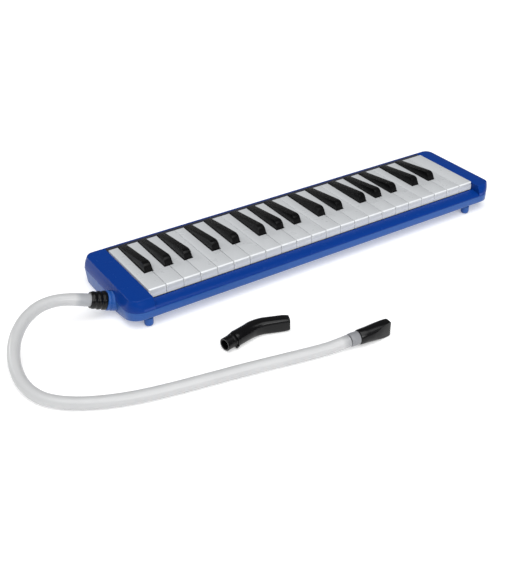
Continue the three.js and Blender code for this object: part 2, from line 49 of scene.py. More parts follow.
# ---- driving dimensions, in millimetres -----------------------------------------------------------
# Drawing coordinates: X from half a key gap left of the first white key, Y back from the white key
# fronts, Z up from the floor. The frame's first key gives their origin.
KEY_GAP = 0.5
WHITE_TOP = 32
LEFT_END = -26.5
RIGHT_END = 438.5
FRONT = -14.3
COVER_REAR = 102
REAR = 103.2
CORNER = 16
PARTING = 19
SEAM = 0.3
CHEEK_TOP = 30.5
WALL = 2.2
ABOVE_ALL = 50  # a level over the whole instrument, for cutters
WELL = {"left": -0.6, "right": 418.6, "front": -1.5, "rear": 94.4}
PORT_END = Vector((-32.7, 28, 16.9))
PORT_OUT = Vector((-0.945, 0.14, 0.295)).normalized()
PORT_RADIUS = 9.75
FOOT = {"y": -8.5, "radius": 4.6, "dowel": 2.3, "xs": {"foot_left": -6.2, "foot_right": 403.5}}
SCREW = {"y": 62, "xs": {"case_screw_left": -11.5, "case_screw_right": 429.5}}
SCREW_RADII = {"post": 4, "pilot": 1.8, "column": 6, "well": 4, "shank": 1.9}
DRAIN = {"y": 75, "z": 15, "radius": 4, "end": 441, "hole_from": 430, "hole_to": 450, "clearance": 0.4}
HOSE_RADIUS = 5.8
MOUTH = {"root": Vector((139.5, -142.1, 8.1)), "turn": -4, "roll": 90}
SHORT = {"start": (31.9, -83.8), "kink": (71.5, -75.8), "tip": (101, -86.9), "tall": 14.4}

first_key_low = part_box("key_f1")[0]
ORIGIN = Vector((first_key_low.x - KEY_GAP / 2 * MM, first_key_low.y, 0))
DRAWING = Matrix.Translation(ORIGIN) @ Matrix.Scale(MM, 4)  # drawing millimetres to metres in the frame

# The hose's route in the frame, in metres, from inside the connector to the mouthpiece's insert.
HOSE_ROUTE = [
    (-0.2438, 0.0226, 0.0193), (-0.2522, 0.0239, 0.0219), (-0.2608, 0.0254, 0.0246),
    (-0.27, 0.0274, 0.027), (-0.28, 0.029, 0.0287), (-0.29, 0.0289, 0.0295),
    (-0.3, 0.0269, 0.0294), (-0.3095, 0.0227, 0.0284), (-0.3183, 0.017, 0.0267),
    (-0.3262, 0.0098, 0.0243), (-0.3329, 0.0015, 0.0214), (-0.3383, -0.008, 0.0183),
    (-0.3423, -0.0183, 0.0153), (-0.3448, -0.0293, 0.0124), (-0.3457, -0.0406, 0.0099),
    (-0.3446, -0.0518, 0.008), (-0.3414, -0.0626, 0.0067), (-0.336, -0.0723, 0.006),
    (-0.3286, -0.0809, 0.0059), (-0.3198, -0.0883, 0.0059), (-0.31, -0.0947, 0.0059),
    (-0.2995, -0.1001, 0.0059), (-0.2885, -0.1048, 0.0059), (-0.273, -0.1102, 0.0059),
    (-0.243, -0.1174, 0.0059), (-0.211, -0.1232, 0.0059), (-0.18, -0.1286, 0.0059),
    (-0.148, -0.1348, 0.0059), (-0.117, -0.141, 0.0059), (-0.094, -0.1453, 0.0063),
    (-0.081, -0.1473, 0.0077), (-0.0741, -0.1479, 0.0081),
]
CONNECTOR_END = (-0.251, 0.0237, 0.0216)  # where the hose enters the connector
INSERT_END = (-0.0735, -0.1479, 0.0081)  # where it meets the mouthpiece's insert


# ---- camera and lights ----------------------------------------------------------------------------
def add_camera():
    data = bpy.data.cameras.new("camera")
    data.sensor_width = 36
    data.lens = 56.66
    data.clip_start = 0.01
    data.clip_end = 50
    camera = bpy.data.objects.new("camera", data)
    bpy.context.scene.collection.objects.link(camera)
    camera.location = (-0.5085, -0.6593, 0.4979)
    camera.rotation_mode = "QUATERNION"
    camera.rotation_quaternion = Vector((0.4597, 0.7017, -0.5443)).to_track_quat("-Z", "Y")
    bpy.context.scene.camera = camera


def add_softbox(name, place, width, height, power):
    """A rectangular light aimed at the frame's centre."""
    data = bpy.data.lights.new(name, "AREA")
    data.shape = "RECTANGLE"
    data.size = width
    data.size_y = height
    data.energy = power
    light = bpy.data.objects.new(name, data)
    bpy.context.scene.collection.objects.link(light)
    light.location = place
    light.rotation_mode = "QUATERNION"
    light.rotation_quaternion = (-Vector(place)).to_track_quat("-Z", "Y")


def add_sun(name, place, spread_degrees, strength):
    """A broad even light from the side that place lies on, aimed at the frame's centre."""
    data = bpy.data.lights.new(name, "SUN")
    data.angle = math.radians(spread_degrees)
    data.energy = strength
    light = bpy.data.objects.new(name, data)
    bpy.context.scene.collection.objects.link(light)
    light.location = place
    light.rotation_mode = "QUATERNION"
    light.rotation_quaternion = Vector(place).to_track_quat("Z", "Y")


def add_world(strength):
    world = bpy.data.worlds.new("studio")
    bpy.context.scene.world = world
    world.use_nodes = True
    background = world.node_tree.nodes["Background"]
    background.inputs["Color"].default_value = (1, 1, 1, 1)
    background.inputs["Strength"].default_value = strength


add_camera()
bpy.context.scene.view_settings.view_transform = "Standard"


# ---- materials ------------------------------------------------------------------------------------
def shader(name):
    made = bpy.data.materials.new(name)
    made.use_nodes = True
    return made, made.node_tree.nodes, made.node_tree.links, made.node_tree.nodes["Principled BSDF"]


def noise(nodes, links, scale, detail=3, roughness=0.5, stretch=(1, 1, 1)):
    """A noise field in the frame's own metres: scale is the number of features in a metre."""
    coordinates = nodes.new("ShaderNodeTexCoord")
    mapping = nodes.new("ShaderNodeMapping")
    mapping.inputs["Scale"].default_value = stretch
    field = nodes.new("ShaderNodeTexNoise")
    field.inputs["Scale"].default_value = scale
    field.inputs["Detail"].default_value = detail
    field.inputs["Roughness"].default_value = roughness
    links.new(coordinates.outputs["Object"], mapping.inputs["Vector"])
    links.new(mapping.outputs["Vector"], field.inputs["Vector"])
    return field.outputs["Fac"]


def spread(nodes, links, value, low, high, from_low=0.3, from_high=0.7):
    """Stretches a value between from_low and from_high to between low and high."""
    ranged = nodes.new("ShaderNodeMapRange")
    ranged.inputs["From Min"].default_value = from_low
    ranged.inputs["From Max"].default_value = from_high
    ranged.inputs["To Min"].default_value = low
    ranged.inputs["To Max"].default_value = high
    links.new(value, ranged.inputs["Value"])
    return ranged.outputs["Result"]


def mixed(nodes, links, factor, first, second):
    """A colour between two, each a socket or a tuple."""
    blend = nodes.new("ShaderNodeMix")
    blend.data_type = "RGBA"
    links.new(factor, blend.inputs[0])
    for value, socket in ((first, blend.inputs[6]), (second, blend.inputs[7])):
        if isinstance(value, tuple):
            socket.default_value = (*value, 1)
        else:
            links.new(value, socket)
    return blend.outputs[2]


def bump(nodes, links, shade, *layers):
    """Stacks bump layers of (height, strength, distance in metres) on the shader's normal."""
    previous = None
    for height, strength, distance in layers:
        node = nodes.new("ShaderNodeBump")
        node.inputs["Strength"].default_value = strength
        node.inputs["Distance"].default_value = distance
        links.new(height, node.inputs["Height"])
        if previous is not None:
            links.new(previous, node.inputs["Normal"])
        previous = node.outputs["Normal"]
    links.new(previous, shade.inputs["Normal"])


def scaled(colour, factor):
    return tuple(min(1.0, channel * factor) for channel in colour)


def plastic(name, colour, roughness, grain=0.05, wear_and_highlight=0.25, mottle=0.06, specular=0.5):
    """Moulded plastic: faint flow mottling, uneven gloss, a fine grain and lighter edges, partly rubbed
    wear and partly a painted highlight along the moulded ridges.
    """
    made, nodes, links, shade = shader(name)
    flow = noise(nodes, links, 22, 4, stretch=(0.5, 1, 1))
    tone = mixed(nodes, links, flow, scaled(colour, 1 - mottle), scaled(colour, 1 + mottle))
    # Edges are lightened where pointiness is high: partly rubbed wear, partly a painted highlight on the
    # ridges.
    geometry = nodes.new("ShaderNodeNewGeometry")
    edge = spread(nodes, links, geometry.outputs["Pointiness"], 0, wear_and_highlight, 0.53, 0.62)
    rubbed_and_highlit = scaled(tuple(channel + 0.05 for channel in colour), 1.5)
    links.new(mixed(nodes, links, edge, tone, rubbed_and_highlit), shade.inputs["Base Color"])
    smear = noise(nodes, links, 90, 5, 0.6)
    links.new(spread(nodes, links, smear, roughness * 0.82, roughness * 1.22), shade.inputs["Roughness"])
    shade.inputs["Specular IOR Level"].default_value = specular
    sink = noise(nodes, links, 60, 2)
    fine = noise(nodes, links, 1800, 3, 0.6)
    bump(nodes, links, shade, (sink, 0.12, 0.0004), (fine, grain, 0.00012))
    return made


def near(nodes, links, centre, full, none):
    """1 within a distance of a place in the frame, falling to 0. All in metres."""
    coordinates = nodes.new("ShaderNodeTexCoord")
    distance = nodes.new("ShaderNodeVectorMath")
    distance.operation = "DISTANCE"
    distance.inputs[1].default_value = centre
    links.new(coordinates.outputs["Object"], distance.inputs[0])
    return spread(nodes, links, distance.outputs["Value"], 1, 0, full, none)


def hose_plastic():
    """Milky soft tubing: cloudy, slightly see-through, and tinted grey near both of its fittings."""
    made, nodes, links, shade = shader("hose_clear")
    cloud = noise(nodes, links, 34, 4)
    milky = mixed(nodes, links, cloud, (0.46, 0.465, 0.47), (0.53, 0.535, 0.54))
    by_connector = near(nodes, links, CONNECTOR_END, 0.0115, 0.0165)
    by_insert = near(nodes, links, INSERT_END, 0.004, 0.011)
    toned = mixed(nodes, links, by_connector, milky, (0.33, 0.34, 0.36))
    links.new(mixed(nodes, links, by_insert, toned, (0.26, 0.265, 0.28)), shade.inputs["Base Color"])
    links.new(spread(nodes, links, noise(nodes, links, 150, 4), 0.3, 0.42), shade.inputs["Roughness"])
    shade.inputs["Subsurface Weight"].default_value = 0.1
    shade.inputs["Subsurface Radius"].default_value = (0.002, 0.002, 0.0022)
    shade.inputs["Subsurface Scale"].default_value = 1
    shade.inputs["Coat Weight"].default_value = 0.2
    shade.inputs["Coat Roughness"].default_value = 0.2
    fine = noise(nodes, links, 1500, 2)
    bump(nodes, links, shade, (noise(nodes, links, 120, 3), 0.1, 0.0004), (fine, 0.05, 0.0001))
    return made


def felt_cloth():
    made, nodes, links, shade = shader("felt")
    fuzz = noise(nodes, links, 1300, 6, 0.75)
    tone = mixed(nodes, links, fuzz, (0.002, 0.003, 0.012), (0.011, 0.014, 0.034))
    links.new(tone, shade.inputs["Base Color"])
    links.new(spread(nodes, links, fuzz, 0.85, 1), shade.inputs["Roughness"])
    shade.inputs["Sheen Weight"].default_value = 0.15
    shade.inputs["Specular IOR Level"].default_value = 0.2
    bump(nodes, links, shade, (noise(nodes, links, 300, 4), 0.3, 0.0006), (fuzz, 0.6, 0.0004))
    return made


def metal(name, colour, roughness, brushing):
    """Drawn or rolled metal, brushed along X."""
    made, nodes, links, shade = shader(name)
    streak = noise(nodes, links, brushing, 5, 0.65, stretch=(0.04, 1, 1))
    stain = noise(nodes, links, 70, 3)
    links.new(mixed(nodes, links, stain, scaled(colour, 0.82), colour), shade.inputs["Base Color"])
    links.new(spread(nodes, links, streak, roughness * 0.7, roughness * 1.4), shade.inputs["Roughness"])
    shade.inputs["Metallic"].default_value = 1
    bump(nodes, links, shade, (streak, 0.15, 0.0001))
    return made


MATERIALS = {
    "cover_blue": plastic(
        "cover_blue", (0.002, 0.034, 0.22), 0.24, grain=0.04, wear_and_highlight=0.3, specular=0.12),
    # case_blue's base is lighter than cover_blue's as painted light, standing in for the lower case
    # looking lighter where it faces the bright floor.
    "case_blue": plastic(
        "case_blue", (0.011, 0.075, 0.3), 0.34, grain=0.08, wear_and_highlight=0.3, specular=0.35),
    "white_keys": plastic(
        "white_keys", (0.51, 0.525, 0.54), 0.3, grain=0.03, wear_and_highlight=0.6, mottle=0.02),
    "black_keys": plastic(
        "black_keys", (0.0015, 0.0015, 0.0018), 0.28, grain=0.03, wear_and_highlight=0, specular=0.18),
    "soft_black": plastic(
        "soft_black", (0.002, 0.002, 0.0025), 0.24, grain=0.04, wear_and_highlight=0.02, specular=0.26),
    "hose_clear": hose_plastic(),
    "grey_insert": plastic("grey_insert", (0.22, 0.225, 0.24), 0.4, grain=0.06, wear_and_highlight=0.3, mottle=0.12),
    "felt": felt_cloth(),
    "steel": metal("steel", (0.56, 0.57, 0.58), 0.32, 2600),
    "brass": metal("brass", (0.72, 0.5, 0.18), 0.3, 2200),
    "grey_plastic": plastic("grey_plastic", (0.22, 0.235, 0.255), 0.5, grain=0.15),
    "rubber": plastic("rubber", (0.02, 0.02, 0.021), 0.75, grain=0.3, wear_and_highlight=0.15),
}
CAD_SLOTS = {
    "rear_felt_strip": "felt", "front_felt_strip": "felt", "key_frame": "grey_plastic",
    "key_pivot_shaft": "steel", "key_spring_comb": "steel", "drain_spring": "steel",
    "cell_block": "grey_plastic", "reed_plate": "brass", "chest_gasket": "rubber",
    "wind_chest": "grey_plastic",
}


# ---- mesh helpers ---------------------------------------------------------------------------------
def piece(name, mesh_or_bm, slot, body, *replaced, transform=DRAWING, angle=32):
    """Makes a shaded piece from drawing coordinates, gives it its finish and lets it ride.

    Edges that turn by more than angle, in degrees, are shaded sharp.
    """
    if isinstance(mesh_or_bm, bmesh.types.BMesh):
        mesh = bpy.data.meshes.new(name)
        mesh_or_bm.to_mesh(mesh)
        mesh_or_bm.free()
    else:
        mesh = mesh_or_bm
        mesh.name = name
    mesh.transform(transform)
    mesh.materials.clear()
    mesh.materials.append(MATERIALS[slot])
    mesh.shade_smooth()
    mesh.set_sharp_from_angle(angle=math.radians(angle))
    made = bpy.data.objects.new(name, mesh)
    bpy.context.scene.collection.objects.link(made)
    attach(made, body)
    if replaced:
        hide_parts(*replaced)
    return made


def softened(points, radius, steps=4, closed=False):
    """Rounds the corners of a polyline, each over a reach of radius, or less on a short side."""
    most_of_side = 0.49
    count = len(points)
    result = []
    for index, point in enumerate(points):
        if not closed and index in (0, count - 1):
            result.append(tuple(point))
            continue
        corner = Vector(point)
        before = Vector(points[index - 1]) - corner
        after = Vector(points[(index + 1) % count]) - corner
        reach = min(radius, before.length * most_of_side, after.length * most_of_side)
        start = corner + before.normalized() * reach
        end = corner + after.normalized() * reach
        for step in range(steps + 1):
            t = step / steps
            result.append(tuple(start * (1 - t) ** 2 + corner * (2 * t * (1 - t)) + end * t ** 2))
    return result


def loft(rings, closed_loop=False, caps=True):
    """Skins rings of equal length. A closed loop joins the last ring to the first one."""
    bm = bmesh.new()
    verts = [[bm.verts.new(point) for point in ring] for ring in rings]
    pairs = list(zip(verts, verts[1:]))
    if closed_loop:
        pairs.append((verts[-1], verts[0]))
    for lower, upper in pairs:
        for index in range(len(lower)):
            following = (index + 1) % len(lower)
            bm.faces.new((lower[index], lower[following], upper[following], upper[index]))
    if caps and not closed_loop:
        bm.faces.new(list(reversed(verts[0])))
        bm.faces.new(verts[-1])
    bmesh.ops.remove_doubles(bm, verts=bm.verts, dist=1e-5)
    bmesh.ops.recalc_face_normals(bm, faces=bm.faces)
    return bm


def prism_x(outline, x0, x1):
    """A side outline of (y, z) drawn along X."""
    return loft([[(x, y, z) for y, z in outline] for x in (x0, x1)])


def prism_z(outline, z0, z1):
    """A plan outline of (x, y) drawn up along Z."""
    return loft([[(x, y, z) for x, y in outline] for z in (z0, z1)])


def prism_y(outline, y0, y1):
    """A side outline of (x, z) drawn along Y."""
    return loft([[(x, y, z) for x, z in outline] for y in (y0, y1)])


def block(low, high):
    (x0, y0, z0), (x1, y1, z1) = low, high
    return prism_z([(x0, y0), (x1, y0), (x1, y1), (x0, y1)], z0, z1)


def lathe(profile, segments=64, closed=False):
    """A profile of (radius, height) turned about Z. It closes on itself or ends on the axis."""
    turn = [2 * math.pi * index / segments for index in range(segments)]
    rings = []
    for radius, height in profile:
        rings.append([(radius * math.cos(a), radius * math.sin(a), height) for a in turn])
    return loft(rings, closed_loop=closed, caps=False)


def pointing(origin, direction):
    """A matrix that takes Z to a direction and the centre to a point."""
    turn = Vector((0, 0, 1)).rotation_difference(Vector(direction)).to_matrix().to_4x4()
    return Matrix.Translation(Vector(origin)) @ turn


def moved(bm, matrix):
    bm.transform(matrix)
    return bm


def cylinder(start, end, radius, segments=48):
    start = Vector(start)
    way = Vector(end) - start
    profile = [(0, 0), (radius, 0), (radius, way.length), (0, way.length)]
    return moved(lathe(profile, segments), pointing(start, way))


def upright(x, y, z0, z1, radius):
    """A standing cylinder."""
    return cylinder((x, y, z0), (x, y, z1), radius)


def turned(outline, rounding, steps, segments, place, closed=True):
    """An outline of (radius, height) with soft corners, turned about Z and put in its place."""
    return moved(lathe(softened(outline, rounding, steps, closed), segments, closed), place)


def carved(body, cutters, additions=()):
    """Cuts and joins closed solids with exact booleans, and gives the new mesh."""
    def object_of(bm):
        mesh = bpy.data.meshes.new("working")
        bm.to_mesh(mesh)
        bm.free()
        made = bpy.data.objects.new("working", mesh)
        bpy.context.scene.collection.objects.link(made)
        return made

    base = object_of(body)
    tools = [(object_of(bm), "UNION") for bm in additions]
    tools += [(object_of(bm), "DIFFERENCE") for bm in cutters]
    for tool, operation in tools:
        modifier = base.modifiers.new("cut", "BOOLEAN")
        modifier.operation = operation
        modifier.solver = "EXACT"
        modifier.object = tool
    evaluated = base.evaluated_get(bpy.context.evaluated_depsgraph_get())
    mesh = bpy.data.meshes.new_from_object(evaluated)
    for working in [base] + [tool for tool, _ in tools]:
        old = working.data
        bpy.data.objects.remove(working)
        bpy.data.meshes.remove(old)
    return mesh


def edges_rounded(mesh, width, segments, wanted, least_angle=30):
    """Bevels the sharp convex edges whose two ends pass a test. Flat faces are merged first."""
    flat_within = math.radians(0.4)
    bm = bmesh.new()
    bm.from_mesh(mesh)
    bmesh.ops.remove_doubles(bm, verts=bm.verts, dist=1e-4)
    bmesh.ops.dissolve_limit(bm, angle_limit=flat_within, verts=bm.verts, edges=bm.edges)
    least = math.radians(least_angle)
    chosen = [
        edge for edge in bm.edges
        if len(edge.link_faces) == 2 and edge.calc_face_angle_signed(0) > least
        and wanted(edge.verts[0].co) and wanted(edge.verts[1].co)
    ]
    bmesh.ops.bevel(bm, geom=chosen, offset=width, segments=segments, profile=0.5, affect="EDGES",
                    clamp_overlap=True)
    bm.to_mesh(mesh)
    bm.free()
    return mesh


# ---- case halves ----------------------------------------------------------------------------------
def half_outline(x0, x1, y0, y1, radius, stops, arc_steps=14):
    """Left half of a rounded rectangle from its front edge to its rear edge, and its mirror image.

    stops are extra points on the straight side, strictly between the two corners' arcs.
    """
    left = []
    for step in range(arc_steps + 1):
        angle = math.pi / 2 * step / arc_steps
        left.append((x0 + radius * (1 - math.sin(angle)), y0 + radius * (1 - math.cos(angle))))
    left += [(x0, y) for y in stops]
    for step in range(arc_steps + 1):
        angle = math.pi / 2 * step / arc_steps
        left.append((x0 + radius * (1 - math.cos(angle)), y1 - radius * (1 - math.sin(angle))))
    return left, [(x0 + x1 - x, y) for x, y in left]


def moulded_half(box, radius, edge_radius, height, flat, stops, way):
    """One half of the case as a solid: an edge rounded by edge_radius, then a face along height(y).

    way is 1 where the face looks up and -1 where it looks down. flat is the level of the open side.
    """
    x0, x1, y0, y1 = box
    bm = bmesh.new()
    levels = []
    inner = half_outline(x0, x1, y0, y1, radius, stops)
    levels.append([[bm.verts.new((x, y, flat)) for x, y in side] for side in inner])
    edge_steps = 6
    for step in range(edge_steps + 1):
        angle = math.pi / 2 * step / edge_steps
        inset = edge_radius * (1 - math.cos(angle))
        drop = edge_radius * (1 - math.sin(angle))
        sides = half_outline(x0 + inset, x1 - inset, y0 + inset, y1 - inset, radius - inset, stops)
        levels.append([[bm.verts.new((x, y, height(y) - way * drop)) for x, y in side] for side in sides])
    for lower, upper in zip(levels, levels[1:]):
        for below, above in zip(lower, upper):
            for index in range(len(below) - 1):
                bm.faces.new((below[index], below[index + 1], above[index + 1], above[index]))
        for end in (0, -1):
            bm.faces.new((lower[0][end], lower[1][end], upper[1][end], upper[0][end]))
    for level in (levels[0], levels[-1]):
        left, right = level
        for index in range(len(left) - 1):
            bm.faces.new((left[index], right[index], right[index + 1], left[index + 1]))
    bmesh.ops.recalc_face_normals(bm, faces=bm.faces)
    return bm


def along(points):
    """A function of y through (y, z) points."""
    def height(y):
        if y <= points[0][0]:
            return points[0][1]
        for (y0, z0), (y1, z1) in zip(points, points[1:]):
            if y <= y1:
                return z0 + (z1 - z0) * (y - y0) / (y1 - y0)
        return points[-1][1]
    return height


def port_passage():
    """The cutter that lets the port's collar through both halves."""
    return cylinder(PORT_END - PORT_OUT * 16, PORT_END + PORT_OUT * 4, PORT_RADIUS + SEAM, 64)


def rounded_ring(x0, x1, y0, y1, radius, z, arc_steps=12):
    """A rounded rectangle at one level, starting from its front left corner."""
    ring = []
    for x, y, first in ((x0 + radius, y0 + radius, 180), (x1 - radius, y0 + radius, 270),
                        (x1 - radius, y1 - radius, 0), (x0 + radius, y1 - radius, 90)):
        for step in range(arc_steps + 1):
            angle = math.radians(first + 90 * step / arc_steps)
            ring.append((x + radius * math.cos(angle), y + radius * math.sin(angle), z))
    return ring


# The cover's plan at the joint and at the top: left, right, front, rear and corner radius.
COVER_FOOT = (LEFT_END, RIGHT_END, FRONT, COVER_REAR, CORNER)
COVER_CROWN = (-22.9, 437.8, -10, 97, 9)
COVER_EDGE = 0.9
COVER_SWELL = 0.5  # how far the leaning walls bow out half way up
RIGHT_SWELL_SHARE = 0.3
HOLLOW_FOOT = {"inset": 0.8, "radius": 7.4}
HOLLOW_ROOF = {"front": -7, "rear": 93.6, "radius": 6, "left_lean": 3.4, "right_lean": 0.8}


def cover_outside():
    """Leaning walls that swell a little, and a rounded edge around the flat top."""
    rings = []
    wall_steps = 6
    for step in range(wall_steps + 1):
        share = step / wall_steps
        plan = [low + (high - low) * share for low, high in zip(COVER_FOOT, COVER_CROWN)]
        swell = 4 * COVER_SWELL * share * (1 - share)
        x0, x1, y0, y1, radius = plan
        x1 += swell * RIGHT_SWELL_SHARE
        level = PARTING + (CHEEK_TOP - COVER_EDGE - PARTING) * share
        rings.append(rounded_ring(x0 - swell, x1, y0 - swell, y1 + swell, radius, level))
    x0, x1, y0, y1, radius = COVER_CROWN
    edge_steps = 5
    for step in range(1, edge_steps + 1):
        angle = math.pi / 2 * step / edge_steps
        inset = COVER_EDGE * (1 - math.cos(angle))
        level = CHEEK_TOP - COVER_EDGE * (1 - math.sin(angle))
        rings.append(rounded_ring(
            x0 + inset, x1 - inset, y0 + inset, y1 - inset, radius - inset, level))
    return loft(rings)


def cheek_hollow(x0, x1, outer_left, outer_right):
    """The space inside one end of the cover. outer_left or outer_right is 1 on its outer side.

    The outer side leans like the wall, and the open foot reaches below the joint to cut through it.
    """
    inset = WALL + HOLLOW_FOOT["inset"]
    foot = rounded_ring(x0, x1, FRONT + inset, COVER_REAR - inset, HOLLOW_FOOT["radius"], PARTING - 1)
    roof_x0 = x0 + HOLLOW_ROOF["left_lean"] * outer_left
    roof_x1 = x1 - HOLLOW_ROOF["right_lean"] * outer_right
    roof = rounded_ring(roof_x0, roof_x1, HOLLOW_ROOF["front"], HOLLOW_ROOF["rear"],
                        HOLLOW_ROOF["radius"], CHEEK_TOP - WALL)
    return loft([foot, roof])


def top_cover():
    """The upper shell: two closed cheeks, a low rail in front of the keys and a thin rim behind them."""
    left, right, front = WELL["left"], WELL["right"], WELL["front"]
    rail = [(front, 22.9), (-5, 22.6), (-9, 21.9), (-12, 20.9), (-13.6, 19.7), (-15.5, 19.2)]
    before_rail = [(-20, ABOVE_ALL), (front, ABOVE_ALL)]
    above_rail = prism_x(before_rail + softened(rail, 1, 2) + [(-20, 19.2)], left, right)
    well = block((left, front, 0), (right, WELL["rear"], ABOVE_ALL))
    under_rail = prism_x([(-12.4, 18), (-12, 19.2), (-8, 20.1), (-3, 20.9), (-3, 18)], left, right)
    under_rim = prism_x([(92, 18), (92, 28.2), (95, 27.8), (98.4, 18)], left - 3, right + 3)
    left_hollow = cheek_hollow(LEFT_END + WALL, left - WALL, 1, 0)
    right_hollow = cheek_hollow(right + WALL, RIGHT_END - WALL, 0, 1)
    posts = []
    pilots = []
    for x in SCREW["xs"].values():
        posts.append(upright(x, SCREW["y"], PARTING + 0.2, CHEEK_TOP - 1, SCREW_RADII["post"]))
        pilots.append(upright(x, SCREW["y"], PARTING - 1, CHEEK_TOP - 3, SCREW_RADII["pilot"]))
    hollows = [above_rail, well, under_rail, under_rim, left_hollow, right_hollow]
    mesh = carved(cover_outside(), hollows)
    bm = bmesh.new()
    bm.from_mesh(mesh)
    mesh = carved(bm, [*pilots, port_passage()], posts)

    def beside_the_keys(at):
        return at.z > 21 and left - 0.1 < at.x < right + 0.1

    return edges_rounded(mesh, 0.4, 3, beside_the_keys)


# The underside as (y, z), and extra points on the case's straight ends that follow its bends.
UNDERSIDE = [
    (FRONT, 10.6), (-12, 9.6), (-3, 8), (12, 3.7), (33, 0),
    (82, 0), (91.5, 0.9), (98.5, 3.2), (102, 5.6), (REAR, 7.4),
]
END_STOPS = (3, 7, 12, 20, 26, 30, 33, 40, 78, 82, 86)
LOOKS_DOWN = -1


def bottom_case():
    """The lower shell, with columns for the screws and holes for screws, feet, port and button."""
    height = along(softened(UNDERSIDE, 8, 5))
    top = PARTING - SEAM
    outer = moulded_half((LEFT_END, RIGHT_END, FRONT, REAR), CORNER, 1.8, height, top,
                         END_STOPS, LOOKS_DOWN)
    drawn_in_from = 80
    taper = 0.2
    taper_top = 12
    for vert in outer.verts:
        if vert.co.z > top - 0.1 and vert.co.y > drawn_in_from:
            share = (vert.co.y - drawn_in_from) / (REAR - drawn_in_from)
            vert.co.y -= (REAR - COVER_REAR) * share
        if vert.co.x < 0:
            vert.co.x += taper * max(0, taper_top - vert.co.z)

    def inner_height(y):
        return height(y) + WALL

    inner_plan = (LEFT_END + WALL, RIGHT_END - WALL, FRONT + WALL, REAR - WALL)
    inner = moulded_half(inner_plan, CORNER - WALL, 0.8, inner_height, top + 10, END_STOPS, LOOKS_DOWN)
    hole_from = (DRAIN["hole_from"], DRAIN["y"], DRAIN["z"])
    hole_to = (DRAIN["hole_to"], DRAIN["y"], DRAIN["z"])
    drain_hole = cylinder(hole_from, hole_to, DRAIN["radius"] + DRAIN["clearance"])
    shell = carved(outer, [inner, port_passage(), drain_hole])
    bm = bmesh.new()
    bm.from_mesh(shell)
    columns = []
    wells = []
    shanks = []
    for x in SCREW["xs"].values():
        columns.append(upright(x, SCREW["y"], 1, top - 0.2, SCREW_RADII["column"]))
        wells.append(upright(x, SCREW["y"], -1, 8, SCREW_RADII["well"]))
        shanks.append(upright(x, SCREW["y"], 7, 20, SCREW_RADII["shank"]))
    dowels = [upright(x, FOOT["y"], -1, 16, FOOT["dowel"]) for x in FOOT["xs"].values()]
    mesh = carved(bm, wells + shanks + dowels, columns)
    return edges_rounded(mesh, 0.35, 2, lambda at: at.z < top + 0.1)


# ---- keys -----------------------------------------------------------------------------------------
def finer_key(node, rounding, steps, lowest):
    """The frame's key with its coplanar triangles merged and the edges above lowest rounded."""
    bm = bmesh.new()
    bm.from_mesh(NODES[node].data)
    bm.transform(DRAWING.inverted())
    mesh = bpy.data.meshes.new(node)
    bm.to_mesh(mesh)
    bm.free()
    return edges_rounded(mesh, rounding, steps, lambda at: at.z > lowest, least_angle=24)


def add_keys():
    for name in sorted(NODES):
        if not name.startswith("key_") or name in CAD_SLOTS:
            continue
        if "sharp" in name:
            mesh = finer_key(name, rounding=1.5, steps=5, lowest=WHITE_TOP + 0.2)
            slot = "black_keys"
        else:
            mesh = finer_key(name, rounding=0.4, steps=3, lowest=WHITE_TOP - 1.2)
            slot = "white_keys"
        piece("fine_" + name, mesh, slot, name + "_lever", name, angle=28)


# ---- port, connector, screws, feet and button -----------------------------------------------------
# The outlines here are (radius, distance along the axis).
def add_port():
    rim = [
        (7, -0.7), (7.6, 0), (9.1, 0), (PORT_RADIUS, -0.8), (PORT_RADIUS, -2.9),
        (9, -3.3), (9, -4.2), (PORT_RADIUS, -4.6), (PORT_RADIUS, -12.3),
    ]
    outline = [(4.5, -12.5), (4.5, -11.2), (7, -11.2), *rim, (6.3, -12.5)]
    collar = turned(outline, 0.35, 3, 72, pointing(PORT_END, PORT_OUT))
    piece("fine_port_collar", collar, "case_blue", "case", "port_tube")
    bend = PORT_END - PORT_OUT * 20
    inner_end = Vector((0.7, 26.4, 11.2))
    path = [PORT_END - PORT_OUT * 12.6, bend + PORT_OUT * 1.5, bend + Vector((1.2, 0, 0)), inner_end]
    duct = pipe(smooth_path(path, 6), outer=6.2, inner=4.5, segments=40)
    piece("fine_port_duct", duct, "case_blue", "case")


def smooth_path(points, steps):
    """A Catmull-Rom line through the points."""
    points = [Vector(point) for point in points]
    ends = [points[0] * 2 - points[1], *points, points[-1] * 2 - points[-2]]
    line = []
    for a, b, c, d in zip(ends, ends[1:], ends[2:], ends[3:]):
        for step in range(steps):
            t = step / steps
            line.append(0.5 * (2 * b + (c - a) * t + (2 * a - 5 * b + 4 * c - d) * t ** 2
                               + (3 * b - a - 3 * c + d) * t ** 3))
    return line + [points[-1]]


def way_at(path, index):
    """The direction of a path at one of its points."""
    return (path[min(index + 1, len(path) - 1)] - path[max(index - 1, 0)]).normalized()


def rings_on(path, radius, segments):
    """Round rings square to a path."""
    turn = [2 * math.pi * k / segments for k in range(segments)]
    rings = []
    for index, point in enumerate(path):
        way = way_at(path, index)
        side = way.cross(Vector((0, 0, 1))).normalized()
        up = side.cross(way)
        rings.append([tuple(point + (side * math.cos(a) + up * math.sin(a)) * radius) for a in turn])
    return rings


def pipe(path, outer, inner, segments):
    """A hollow tube along a path, between an outer and an inner radius."""
    rings = rings_on(path, outer, segments) + list(reversed(rings_on(path, inner, segments)))
    return loft(rings, closed_loop=True)


